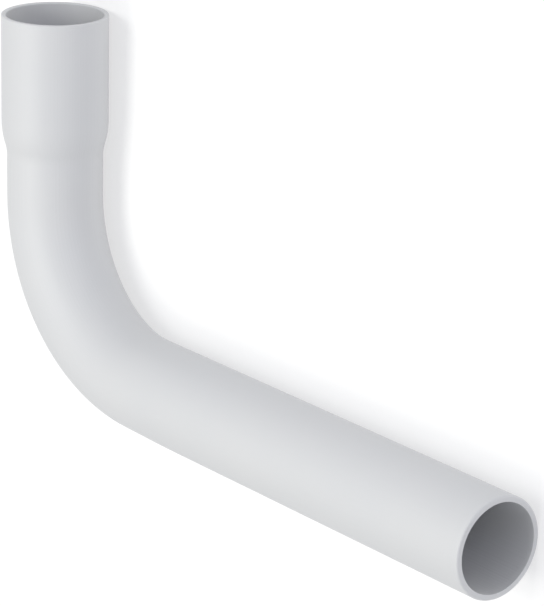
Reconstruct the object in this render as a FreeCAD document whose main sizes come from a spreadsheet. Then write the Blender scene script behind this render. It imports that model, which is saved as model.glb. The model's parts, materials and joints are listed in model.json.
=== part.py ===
"""Flush pipe: one length of extruded plastic pipe with a 90 degree bend and a belled socket.

The socket end, the inlet, takes the cistern's outlet. The plain end, the spigot, goes into the
seal of the toilet pan. The pipe is drawn flat: the outlet leg's axis is X, the inlet leg's
axis is Y, and they cross at the origin. It can't stand on either end, so the body is then
placed as it comes to rest on a floor: on the underside of the outlet leg and on the socket's
shoulder, which is wider than the pipe and lifts the inlet leg a little.
"""
import FreeCAD, Part
import math
import os
import Sketcher

# Driving dimensions, in millimetres
SIZES = {
    "pipe_diameter": 50.0,
    "pipe_wall": 3.0,
    "inlet_height": 178.0,
    "outlet_length": 346.0,
    "bend_radius": 82.0,
    "socket_depth": 56.0,
    "socket_clearance": 0.25,
    "socket_wall": 2.5,
    "shoulder_radius": 44.0,
    "neck_root_radius": 22.0,
    "lead_in": 0.6,
    "mouth_rounding": 0.6,
    "spigot_rounding": 1.0,
}

# What follows from them, as formulas of the spreadsheet's cells
PIPE_RADIUS = "(sizes.pipe_diameter / 2)"
WATERWAY_RADIUS = f"({PIPE_RADIUS} - sizes.pipe_wall)"
SOCKET_BORE_RADIUS = f"({PIPE_RADIUS} + sizes.socket_clearance)"
SOCKET_RADIUS = f"({SOCKET_BORE_RADIUS} + sizes.socket_wall)"
SHOULDER_HEIGHT = "(sizes.inlet_height - sizes.socket_depth)"

# The neck's inside runs parallel to its outside, one wall further in
INNER_SHOULDER_RADIUS = "(sizes.shoulder_radius - sizes.socket_wall)"
INNER_ROOT_RADIUS = "(sizes.neck_root_radius + sizes.pipe_wall)"

# The angle by which the inlet leg rises when the outlet leg's underside and the rounded
# shoulder both touch the floor: with the shoulder's arc centred on (height, lift) from the
# outlet axis, height * sin(angle) + lift * cos(angle) is shoulder radius less pipe radius.
SHOULDER_LIFT = f"(sizes.shoulder_radius - {SOCKET_RADIUS})"
REST_ANGLE = (
    f"(asin((sizes.shoulder_radius - {PIPE_RADIUS})"
    f" / sqrt({SHOULDER_HEIGHT} ^ 2 + {SHOULDER_LIFT} ^ 2))"
    f" - atan2({SHOULDER_LIFT}; {SHOULDER_HEIGHT}))"
)

# How far the tilted mouth reaches along the floor from the outlet axis, on its rounded edge
MOUTH_REACH = (
    f"((sizes.inlet_height - sizes.mouth_rounding) * cos({REST_ANGLE})"
    f" + ({SOCKET_RADIUS} - sizes.mouth_rounding) * sin({REST_ANGLE})"
    " + sizes.mouth_rounding)"
)

doc = FreeCAD.newDocument("flush_pipe")
sizes = doc.addObject("Spreadsheet::Sheet", "sizes")
for row, (name, value) in enumerate(SIZES.items(), start=1):
    sizes.set(f"A{row}", name)
    sizes.set(f"B{row}", str(value))
    sizes.setAlias(f"B{row}", name)
doc.recompute()


def number(formula):
    """Return what a formula of the spreadsheet's cells gives now, as a plain number."""
    return float(sizes.evalExpression(formula))


def new_sketch(body, name, plane_role):
    """Add a sketch to a body, on the body's own origin plane of the given role."""
    sketch = body.newObject("Sketcher::SketchObject", name)
    plane = next(item for item in body.Origin.OriginFeatures if item.Role == plane_role)
    sketch.AttachmentSupport = [(plane, "")]
    sketch.MapMode = "FlatFace"
    return sketch


def dimension(sketch, name, formula, kind, *where):
    """Add a named dimension to a sketch and bind it to a formula of the spreadsheet's cells."""
    index = sketch.addConstraint(Sketcher.Constraint(kind, *where, number(formula)))
    sketch.renameConstraint(index, name)
    sketch.setExpression(f"Constraints.{name}", formula)


def line(sketch, start, end):
    """Add a straight line between two (x, y) points and return its number in the sketch."""
    return sketch.addGeometry(Part.LineSegment(FreeCAD.Vector(*start), FreeCAD.Vector(*end)))


def arc(sketch, centre, radius, start_angle, end_angle):
    """Add an arc that turns anticlockwise between two angles and return its number."""
    circle = Part.Circle(FreeCAD.Vector(*centre), FreeCAD.Vector(0, 0, 1), radius)
    return sketch.addGeometry(Part.ArcOfCircle(circle, start_angle, end_angle))


# The sketcher counts a line's or arc's points upwards from 1, and its own axes down from -1
START, END, CENTRE = range(1, 4)
ORIGIN_AND_X_AXIS, Y_AXIS = range(-1, -3, -1)

body = doc.addObject("PartDesign::Body", "flush_pipe")
body.Label = "flush_pipe"


# The outlet leg and the bend: the pipe's ring section swept along the pipe's centreline
route = new_sketch(body, "route", "XY_Plane")
outlet_length = number("sizes.outlet_length")
bend_radius = number("sizes.bend_radius")
outlet_axis = line(route, (outlet_length, 0), (bend_radius, 0))
bend = arc(route, (bend_radius, bend_radius), bend_radius, math.pi, 1.5 * math.pi)
route.addConstraint([
    Sketcher.Constraint("PointOnObject", outlet_axis, START, ORIGIN_AND_X_AXIS),
    Sketcher.Constraint("Horizontal", outlet_axis),
    Sketcher.Constraint("Tangent", outlet_axis, END, bend, END),
    Sketcher.Constraint("PointOnObject", bend, START, Y_AXIS),
    Sketcher.Constraint("Horizontal", bend, START, bend, CENTRE),
])
dimension(route, "outlet_length", "sizes.outlet_length", "DistanceX",
          ORIGIN_AND_X_AXIS, START, outlet_axis, START)
dimension(route, "bend_radius", "sizes.bend_radius", "Radius", bend)

section = new_sketch(body, "section", "YZ_Plane")
section.setExpression("AttachmentOffset.Base.z", "sizes.outlet_length")
for name, radius in (("outside", PIPE_RADIUS), ("waterway", WATERWAY_RADIUS)):
    circle = Part.Circle(FreeCAD.Vector(0, 0, 0), FreeCAD.Vector(0, 0, 1), number(radius))
    ring = section.addGeometry(circle)
    section.addConstraint(
        Sketcher.Constraint("Coincident", ring, CENTRE, ORIGIN_AND_X_AXIS, START))
    dimension(section, name, radius, "Radius", ring)
doc.recompute()

outlet_leg = body.newObject("PartDesign::AdditivePipe", "outlet_leg_and_bend")
outlet_leg.Profile = section
outlet_leg.Spine = (route, ["Edge1", "Edge2"])
doc.recompute()


# The inlet leg: the pipe's wall, the neck and the socket, turned about the leg's axis
def neck_side(sketch, pipe_radius, socket_radius, root_radius, shoulder_radius):
    """Draw one side of the wall, from the bend up to the mouth, and return its four pieces.

    The side is a straight line, the neck's hollow root and rounded shoulder, which are two
    arcs tangent to each other, and a second straight line. Both arcs turn by the same angle,
    and one less its cosine is the step in radius over the sum of the two arcs' radii.
    """
    pipe_r, socket_r = number(pipe_radius), number(socket_radius)
    root_r, shoulder_r = number(root_radius), number(shoulder_radius)
    shoulder_y = number(SHOULDER_HEIGHT)
    turn = math.acos(1 - (socket_r - pipe_r) / (root_r + shoulder_r))
    root_y = shoulder_y - (root_r + shoulder_r) * math.sin(turn)
    pipe = line(sketch, (pipe_r, bend_radius), (pipe_r, root_y))
    root = arc(sketch, (pipe_r + root_r, root_y), root_r, math.pi - turn, math.pi)
    shoulder = arc(sketch, (socket_r - shoulder_r, shoulder_y), shoulder_r, -turn, 0)
    socket = line(sketch, (socket_r, shoulder_y), (socket_r, number("sizes.inlet_height")))
    sketch.addConstraint([
        Sketcher.Constraint("Vertical", pipe),
        Sketcher.Constraint("Tangent", pipe, END, root, END),
        Sketcher.Constraint("Tangent", root, START, shoulder, START),
        Sketcher.Constraint("Tangent", shoulder, END, socket, START),
        Sketcher.Constraint("Vertical", socket),
    ])
    return pipe, root, shoulder, socket


wall = new_sketch(body, "inlet_leg_wall", "XY_Plane")
outer = neck_side(wall, PIPE_RADIUS, SOCKET_RADIUS, "sizes.neck_root_radius",
                  "sizes.shoulder_radius")
inner = neck_side(wall, WATERWAY_RADIUS, SOCKET_BORE_RADIUS, INNER_ROOT_RADIUS,
                  INNER_SHOULDER_RADIUS)
outer_pipe, outer_root, outer_shoulder, outer_socket = outer
inner_pipe, inner_root, inner_shoulder, inner_socket = inner
foot = line(wall, (number(WATERWAY_RADIUS), bend_radius), (number(PIPE_RADIUS), bend_radius))
mouth = line(wall, (number(SOCKET_RADIUS), number("sizes.inlet_height")),
             (number(SOCKET_BORE_RADIUS), number("sizes.inlet_height")))
wall.addConstraint([
    Sketcher.Constraint("Coincident", inner_pipe, START, foot, START),
    Sketcher.Constraint("Coincident", foot, END, outer_pipe, START),
    Sketcher.Constraint("Coincident", outer_socket, END, mouth, START),
    Sketcher.Constraint("Coincident", mouth, END, inner_socket, END),
    Sketcher.Constraint("Horizontal", foot),
    Sketcher.Constraint("Horizontal", mouth),
    Sketcher.Constraint("Horizontal", inner_socket, START, outer_socket, START),
])
for name, formula, piece in (
    ("waterway", WATERWAY_RADIUS, inner_pipe),
    ("pipe_outside", PIPE_RADIUS, outer_pipe),
    ("socket_bore", SOCKET_BORE_RADIUS, inner_socket),
    ("socket_outside", SOCKET_RADIUS, outer_socket),
):
    dimension(wall, name, formula, "DistanceX", ORIGIN_AND_X_AXIS, START, piece, START)
for name, formula, piece in (
    ("bend_end", "sizes.bend_radius", foot),
    ("shoulder_height", SHOULDER_HEIGHT, outer_socket),
    ("inlet_height", "sizes.inlet_height", mouth),
):
    dimension(wall, name, formula, "DistanceY", ORIGIN_AND_X_AXIS, START, piece, START)
for name, formula, piece in (
    ("outer_root", "sizes.neck_root_radius", outer_root),
    ("outer_shoulder", "sizes.shoulder_radius", outer_shoulder),
    ("inner_root", INNER_ROOT_RADIUS, inner_root),
    ("inner_shoulder", INNER_SHOULDER_RADIUS, inner_shoulder),
):
    dimension(wall, name, formula, "Radius", piece)
doc.recompute()

inlet_leg = body.newObject("PartDesign::Revolution", "inlet_leg")
inlet_leg.Profile = wall
inlet_leg.ReferenceAxis = (wall, ["V_Axis"])
inlet_leg.Angle = 360
doc.recompute()


# The edges: a lead-in for the pipe that the socket takes, and rounded outer rims
SAME_PLACE = 1e-4


def end_rim(radius, centre):
    """Return the edges of the last feature that lie on one circle, by their names."""
    edges = body.Tip.Shape.Edges
    return [
        f"Edge{index}" for index, edge in enumerate(edges, start=1)
        if isinstance(edge.Curve, Part.Circle)
        and abs(edge.Curve.Radius - number(radius)) < SAME_PLACE
        and edge.Curve.Center.distanceToPoint(FreeCAD.Vector(*centre)) < SAME_PLACE
    ]


def finish_rim(kind, name, size_property, formula, radius, centre):
    """Add a fillet or chamfer of the given size to one rim of the pipe."""
    edges = end_rim(radius, centre)
    feature = body.newObject(kind, name)
    feature.Base = (body.getObject(feature.BaseFeature.Name), edges)
    feature.setExpression(size_property, formula)
    doc.recompute()


mouth_centre = (0, number("sizes.inlet_height"), 0)
spigot_centre = (outlet_length, 0, 0)
finish_rim("PartDesign::Chamfer", "socket_lead_in", "Size", "sizes.lead_in",
           SOCKET_BORE_RADIUS, mouth_centre)
finish_rim("PartDesign::Fillet", "mouth_edge", "Radius", "sizes.mouth_rounding",
           SOCKET_RADIUS, mouth_centre)
finish_rim("PartDesign::Fillet", "spigot_edge", "Radius", "sizes.spigot_rounding",
           PIPE_RADIUS, spigot_centre)


# Lying at rest: the body turns about the outlet axis, and the middle of its footprint comes
# to the origin, with the floor at Z = 0
body.Placement = FreeCAD.Placement(
    FreeCAD.Vector(0, 0, 0), FreeCAD.Rotation(FreeCAD.Vector(1, 0, 0), 1))
body.setExpression("Placement.Rotation.Angle", REST_ANGLE)
body.setExpression("Placement.Base.x", f"({SOCKET_RADIUS} - sizes.outlet_length) / 2")
body.setExpression("Placement.Base.y", f"({PIPE_RADIUS} - {MOUTH_REACH}) / 2")
body.setExpression("Placement.Base.z", PIPE_RADIUS)
doc.recompute()

for item in doc.Objects:
    if "Invalid" in item.State or "Error" in item.State:
        raise RuntimeError(f"{item.Name} did not build: {item.State}")
for sketch in (route, section, wall):
    if not sketch.FullyConstrained:
        raise RuntimeError(f"the sketch {sketch.Name} still has free sizes")
if body.Shape.isNull() or not body.Shape.isValid() or len(body.Shape.Solids) != 1:
    raise RuntimeError("flush_pipe is not one sound solid")

os.makedirs("parts", exist_ok=True)
body.Shape.exportStep(f"parts/{body.Label}.step")
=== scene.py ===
"""The looks of a flush pipe: one bent and belled length of pale grey polyethylene pipe on its side."""
import json
import math

import bpy
import numpy as np
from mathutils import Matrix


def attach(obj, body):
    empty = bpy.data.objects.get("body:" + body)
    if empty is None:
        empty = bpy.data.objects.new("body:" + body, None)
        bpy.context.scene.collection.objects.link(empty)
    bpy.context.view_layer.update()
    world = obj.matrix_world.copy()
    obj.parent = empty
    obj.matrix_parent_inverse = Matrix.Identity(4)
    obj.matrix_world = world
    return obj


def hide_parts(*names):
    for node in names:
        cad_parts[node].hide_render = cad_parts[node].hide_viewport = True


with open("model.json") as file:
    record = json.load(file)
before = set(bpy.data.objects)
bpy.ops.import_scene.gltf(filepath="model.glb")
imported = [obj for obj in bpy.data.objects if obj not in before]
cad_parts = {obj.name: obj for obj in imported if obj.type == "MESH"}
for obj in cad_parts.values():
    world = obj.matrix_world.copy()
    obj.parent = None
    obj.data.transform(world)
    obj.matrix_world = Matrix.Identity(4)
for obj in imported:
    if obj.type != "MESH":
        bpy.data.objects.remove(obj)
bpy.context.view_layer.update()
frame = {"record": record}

# The pipe's shape. The real one is a straight length of extruded pipe that was heated, bent on a
# former and pushed over a plug at one end, so the same wall runs through the bend, the neck and
# the socket. It is worked out straight first, and bent afterwards.
MM = 0.001
pipe_wall = 3.0 * MM
bend_radius = 82.0 * MM
inlet_height = 178.0 * MM
outlet_length = 346.0 * MM
socket_depth = 56.0 * MM
socket_wall = 2.5 * MM
shoulder_radius = 44.0 * MM
neck_root_radius = 22.0 * MM
lead_in = 0.6 * MM
mouth_rounding = 0.6 * MM
spigot_rounding = 1.0 * MM
broken_edge = 0.15 * MM        # what a deburring knife leaves on a cut edge
flattening = 1.3 * MM          # how far bending has pulled in the outer side of the bend
flattest_turn = math.radians(20)
flattening_reach = math.radians(50)
ring_spacing = 3.0 * MM        # the longest step along the pipe between two rings of points
points_around = 160
arc_steps = 8                  # steps in each rounding of the wall's outline
same_place = 0.001 * MM        # what lies closer together than this counts as one place

mounts = {mount["name"]: mount for mount in frame["record"]["mounts"]}
pipe_radius = mounts["spigot"]["dims"]["r_mm"] * MM
socket_bore_radius = mounts["socket"]["dims"]["r_mm"] * MM
socket_radius = socket_bore_radius + socket_wall
waterway_radius = pipe_radius - pipe_wall

# Lengths along the centreline, from the spigot's end
bend_start = outlet_length - bend_radius
bend_end = bend_start + bend_radius * math.pi / 2
pipe_length = bend_end + inlet_height - bend_radius
socket_start = pipe_length - socket_depth


def neck_corners(pipe_side, socket_side, root_radius, shoulder):
    """Return the two corners that the neck's arcs round off, as (length, radius, rounding).

    Both arcs turn by the same angle, whose cosine is one less the step in radius over the sum
    of the arcs' radii. An arc starts its radius times the tangent of half the angle away from
    its corner.
    """
    turn = math.acos(1 - (socket_side - pipe_side) / (root_radius + shoulder))
    root_start = socket_start - (root_radius + shoulder) * math.sin(turn)
    reach = math.tan(turn / 2)
    return [
        (root_start + root_radius * reach, pipe_side, root_radius),
        (socket_start - shoulder * reach, socket_side, shoulder),
    ]


def rounded_outline(corners):
    """Return a closed outline as an array of points, from its corners and their roundings.

    Each corner becomes an arc tangent to both its sides. It starts the rounding times the
    tangent of half the turn before the corner and its centre lies on the corner's bisector,
    the rounding over the cosine of half the turn away. Straight sides are cut into equal steps
    no longer than the ring spacing.
    """
    corner = np.array([[length, radius] for length, radius, _ in corners])
    rounding = np.array([[value] for _, _, value in corners])
    before = corner - np.roll(corner, 1, axis=0)
    before /= np.linalg.norm(before, axis=1, keepdims=True)
    after = np.roll(before, -1, axis=0)
    turn = np.arccos(np.clip(np.sum(before * after, axis=1, keepdims=True), -1, 1))
    start = corner - before * rounding * np.tan(turn / 2)
    end = corner + after * rounding * np.tan(turn / 2)
    inward = (after - before) / np.linalg.norm(after - before, axis=1, keepdims=True)
    centre = corner + inward * rounding / np.cos(turn / 2)
    # The points of each arc, turned from its start by a mix of its first and last radius
    share = np.linspace(0, 1, arc_steps + 1)[None, :, None]
    swept = turn[:, None, :]
    arcs = centre[:, None, :] + (
        np.sin((1 - share) * swept) * (start - centre)[:, None, :]
        + np.sin(share * swept) * (end - centre)[:, None, :]
    ) / np.sin(swept)
    outline = []
    for arc, side_start, side_end in zip(arcs, end, np.roll(start, -1, axis=0)):
        steps = max(1, math.ceil(np.linalg.norm(side_end - side_start) / ring_spacing))
        along = np.linspace(0, 1, steps + 1)[1:-1, None]
        outline += [arc, side_start + (side_end - side_start) * along]
    outline = np.concatenate(outline)
    # Where two arcs meet, each brings the point they share
    repeated = np.linalg.norm(outline - np.roll(outline, 1, axis=0), axis=1) < same_place
    return outline[~repeated]


def bent_pipe(length, radius, around):
    """Return points of the bent pipe for lengths along it, radii and angles around it.

    The bend's turn is the length past its start over its radius, kept between 0 and 90 degrees.
    The inward direction turns with it from the inlet's to the outlet's. The centreline is the
    bend's centre less its radius along the inward direction, plus what lies before the bend
    along the outlet and past it along the inlet. A point is one radius from the centreline,
    along the inward direction times the cosine of its angle and the side direction times the
    sine. On the outer half the radius is less by the flattening times the square of that cosine,
    times half of one plus a cosine that falls from 1 at the flattest turn to -1 at its reach.
    """
    along_outlet = np.array(mounts["spigot"]["axis"])
    along_inlet = np.array(mounts["socket"]["axis"])
    side = np.cross(along_outlet, along_inlet)
    spigot, socket = (np.array(mounts[name]["pos_m"]) for name in ("spigot", "socket"))
    crossing = np.array([socket[0], spigot[1], spigot[2]])
    bend_centre = crossing + bend_radius * (along_outlet + along_inlet)
    turn = (length - bend_start) / bend_radius
    from_flattest = np.clip((turn - flattest_turn) / flattening_reach, -1, 1)
    outer_half = np.maximum(-np.cos(around), 0) ** 2
    radius = radius - flattening * outer_half * (1 + np.cos(math.pi * from_flattest)) / 2
    turn = np.clip(turn, 0, math.pi / 2)[..., None]
    inward = np.cos(turn) * along_inlet + np.sin(turn) * along_outlet
    centreline = (
        bend_centre - bend_radius * inward
        + np.maximum(bend_start - length, 0)[..., None] * along_outlet
        + np.maximum(length - bend_end, 0)[..., None] * along_inlet
    )
    outward = np.cos(around)[..., None] * inward + np.sin(around)[..., None] * side
    return centreline + radius[..., None] * outward


outside = neck_corners(pipe_radius, socket_radius, neck_root_radius, shoulder_radius)
inside = neck_corners(waterway_radius, socket_bore_radius, neck_root_radius + pipe_wall,
                      shoulder_radius - socket_wall)
wall_outline = rounded_outline([
    (0, pipe_radius, spigot_rounding),
    *outside,
    (pipe_length, socket_radius, mouth_rounding),
    (pipe_length, socket_bore_radius + lead_in, broken_edge),
    (pipe_length - lead_in, socket_bore_radius, broken_edge),
    *reversed(inside),
    (0, waterway_radius, broken_edge),
])
around = np.linspace(0, 2 * math.pi, points_around, endpoint=False)
length, radius, around = np.broadcast_arrays(*wall_outline.T[:, :, None], around)
points = bent_pipe(length, radius, around)

# The grid closes on itself both ways: along the wall's outline and around the pipe
rings = len(wall_outline)
index = np.arange(rings * points_around).reshape(rings, points_around)
next_ring, next_around = np.roll(index, -1, axis=0), np.roll(index, -1, axis=1)
faces = np.stack([index, next_ring, np.roll(next_ring, -1, axis=1), next_around], axis=-1)
mesh = bpy.data.meshes.new("pipe")
mesh.from_pydata(points.reshape(-1, 3).tolist(), [], faces.reshape(-1, 4).tolist())
mesh.shade_smooth()

# Where each point was before the pipe was bent, for marks that follow the pipe round the bend
straight = np.stack([radius * np.cos(around), radius * np.sin(around), length], axis=-1)
attribute = mesh.attributes.new("before_bending", "FLOAT_VECTOR", "POINT")
attribute.data.foreach_set("vector", straight.astype(np.float32).ravel())

# Both rims were cut square: faces whose two rings lie in an end plane take the second material
end_distance = np.minimum(np.abs(wall_outline[:, 0]), np.abs(wall_outline[:, 0] - pipe_length))
in_end_plane = end_distance < same_place
cut = in_end_plane & np.roll(in_end_plane, -1)
mesh.polygons.foreach_set("material_index", np.repeat(cut, points_around).astype(np.int32))
pipe = bpy.data.objects.new("pipe", mesh)
bpy.context.collection.objects.link(pipe)


def linear(hex_colour):
    """Turn an sRGB hex colour into linear red, green, blue and an alpha of 1.

    A value up to 0.04045 is divided by 12.92. A higher one has 0.055 added, is divided by
    1.055 and raised to the power 2.4.
    """
    values = [int(hex_colour[i:i + 2], 16) / 255 for i in (1, 3, 5)]
    return (*(v / 12.92 if v <= 0.04045 else ((v + 0.055) / 1.055) ** 2.4 for v in values), 1.0)


def add_node(tree, kind, inputs, **settings):
    """Add a node, give it its settings, and fill or link its inputs, by name or by number."""
    made = tree.nodes.new(kind)
    for name, value in settings.items():
        setattr(made, name, value)
    for name, value in inputs.items():
        if isinstance(value, bpy.types.NodeSocket):
            tree.links.new(value, made.inputs[name])
        else:
            made.inputs[name].default_value = value
    return made


def new_material(name):
    """Make a material whose node tree is empty, and return both."""
    material = bpy.data.materials.new(name)
    material.use_nodes = True
    material.node_tree.nodes.clear()
    return material, material.node_tree


def finish_polyethylene(tree, greys, shade, roughness, marks, normal):
    """Join the patterns of a polyethylene surface to its shader.

    The colour goes from the first grey to the second with the shade, and the roughness from its
    lowest to its highest with the marks.
    """
    colour = add_node(tree, "ShaderNodeMix", {
        "Factor": shade,
        "A": linear(greys[0]),
        "B": linear(greys[1]),
    }, data_type="RGBA")
    gloss = add_node(tree, "ShaderNodeMapRange", {
        "Value": marks, "To Min": roughness[0], "To Max": roughness[1]})
    surface = add_node(tree, "ShaderNodeBsdfPrincipled", {
        "Base Color": colour.outputs["Result"],
        "Roughness": gloss.outputs["Result"],
        "IOR": 1.53,
        "Normal": normal,
    })
    add_node(tree, "ShaderNodeOutputMaterial", {"Surface": surface.outputs["BSDF"]})


# Extruded high-density polyethylene, pale cool grey. The die leaves the surface satin, with fine
# lines along the pipe, and cooling leaves it very slightly uneven, so highlights are broad and
# soft and their edges waver a little.
cloud_size = 45 * MM
line_width = 0.9 * MM          # die lines are finer than this; they are drawn so that they show
line_length = 260 * MM
line_height = 0.06 * MM
wave_size = 22 * MM
wave_height = 0.2 * MM
skin_greys = "#c6c7c8", "#cacaca"
skin_roughness = 0.50, 0.60
polyethylene, tree = new_material("extruded_polyethylene")
place = add_node(tree, "ShaderNodeAttribute", {}, attribute_name="before_bending")
clouds = add_node(tree, "ShaderNodeTexNoise", {
    "Vector": place.outputs["Vector"], "Scale": 1 / cloud_size, "Detail": 3.0})
along = add_node(tree, "ShaderNodeVectorMath", {
    0: place.outputs["Vector"],
    1: (1 / line_width, 1 / line_width, 1 / line_length),
}, operation="MULTIPLY")
die_lines = add_node(tree, "ShaderNodeTexNoise", {
    "Vector": along.outputs["Vector"], "Scale": 1.0, "Detail": 2.0})
waves = add_node(tree, "ShaderNodeTexNoise", {
    "Vector": place.outputs["Vector"], "Scale": 1 / wave_size, "Detail": 1.0})
line_bump = add_node(tree, "ShaderNodeBump", {
    "Height": die_lines.outputs["Fac"], "Distance": line_height})
wave_bump = add_node(tree, "ShaderNodeBump", {
    "Height": waves.outputs["Fac"], "Distance": wave_height,
    "Normal": line_bump.outputs["Normal"]})
finish_polyethylene(tree, skin_greys, clouds.outputs["Fac"],
                    skin_roughness, die_lines.outputs["Fac"], wave_bump.outputs["Normal"])
mesh.materials.append(polyethylene)

# Cut high-density polyethylene, on the two rims. The turning knife takes the skin off, so a rim is
# matt, with fine rings round it that shift its grey a little.
ring_width = 0.5 * MM          # knife marks are finer than this; they are drawn so that they show
ring_height = 0.1 * MM
cut_greys = "#bebfc0", "#cecece"
cut_roughness = 0.52, 0.64
cut_polyethylene, tree = new_material("knife_cut_polyethylene")
place = add_node(tree, "ShaderNodeAttribute", {}, attribute_name="before_bending")
across = add_node(tree, "ShaderNodeVectorMath", {
    0: place.outputs["Vector"], 1: (1, 1, 0)}, operation="MULTIPLY")
from_axis = add_node(tree, "ShaderNodeVectorMath", {
    0: across.outputs["Vector"]}, operation="LENGTH")
knife_rings = add_node(tree, "ShaderNodeTexNoise", {
    "W": from_axis.outputs["Value"], "Scale": 1 / ring_width, "Detail": 2.0},
    noise_dimensions="1D")
ring_bump = add_node(tree, "ShaderNodeBump", {
    "Height": knife_rings.outputs["Fac"], "Distance": ring_height})
finish_polyethylene(tree, cut_greys, knife_rings.outputs["Fac"],
                    cut_roughness, knife_rings.outputs["Fac"], ring_bump.outputs["Normal"])
mesh.materials.append(cut_polyethylene)

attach(pipe, "root")
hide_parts("flush_pipe")

# The floor: a wide table of white acrylic lit from below, as product photographers use. Half of
# its white is its own glow, so the pipe's shadow on it stays faint.
floor_half = 12.0
floor_glow = 0.51
floor_mesh = bpy.data.meshes.new("floor")
floor_mesh.from_pydata(
    [(x * floor_half, y * floor_half, 0) for x, y in ((-1, -1), (1, -1), (1, 1), (-1, 1))],
    [], [(0, 1, 2, 3)])
floor = bpy.data.objects.new("floor", floor_mesh)
bpy.context.collection.objects.link(floor)
backlit_acrylic, tree = new_material("backlit_acrylic")
surface = add_node(tree, "ShaderNodeBsdfPrincipled", {
    "Base Color": linear("#b3b3b3"),
    "Roughness": 0.9,
    "Emission Color": linear("#ffffff"),
    "Emission Strength": floor_glow,
})
add_node(tree, "ShaderNodeOutputMaterial", {"Surface": surface.outputs["BSDF"]})
floor_mesh.materials.append(backlit_acrylic)

# The light: two large soft boxes overhead and a weaker low one at the spigot's side, which reaches
# into the open end, all in a pale surround.
surround_strength = 0.668
soft_box_width = 1.3
soft_box_distance = 2.5
world = bpy.data.worlds.new("studio")
world.use_nodes = True
surround = world.node_tree.nodes["Background"]
surround.inputs["Color"].default_value = linear("#f6f8ff")
surround.inputs["Strength"].default_value = surround_strength
bpy.context.scene.world = world


def soft_box(name, azimuth, elevation, watts, hex_colour):
    """Add a round soft box, aimed at the origin from a bearing and a height angle, in degrees.

    The bearing is counted from +X towards +Y. The place is the distance times the height's
    cosine times the bearing's cosine and sine, and the distance times the height's sine.
    """
    lamp = bpy.data.lights.new(name, "AREA")
    lamp.shape = "DISK"
    lamp.size = soft_box_width
    lamp.energy = watts
    lamp.color = linear(hex_colour)[:3]
    bearing, height = math.radians(azimuth), math.radians(elevation)
    toward = (math.cos(height) * math.cos(bearing), math.cos(height) * math.sin(bearing),
              math.sin(height))
    box = bpy.data.objects.new(name, lamp)
    box.location = tuple(soft_box_distance * value for value in toward)
    box.rotation_euler = (0, math.pi / 2 - height, bearing)
    bpy.context.collection.objects.link(box)


soft_box("overhead", 108, 75, 20.9, "#fffffc")
soft_box("overhead_warm", 252, 75, 21.2, "#fffef4")
soft_box("low_at_spigot", 30, 12, 7.4, "#e4e7ff")

# The camera: the photograph's own angle to the pipe, which shows it as if it stood upright
camera_place = (1.11256, 0.44427, 0.92705)
camera_degrees = (-14.856, 51.113, 3.605)
camera_data = bpy.data.cameras.new("camera")
camera_data.sensor_width = 36
camera_data.lens = 183.3
camera = bpy.data.objects.new("camera", camera_data)
camera.location = camera_place
camera.rotation_euler = tuple(math.radians(angle) for angle in camera_degrees)
bpy.context.collection.objects.link(camera)
bpy.context.scene.camera = camera
bpy.context.scene.view_settings.view_transform = "Standard"
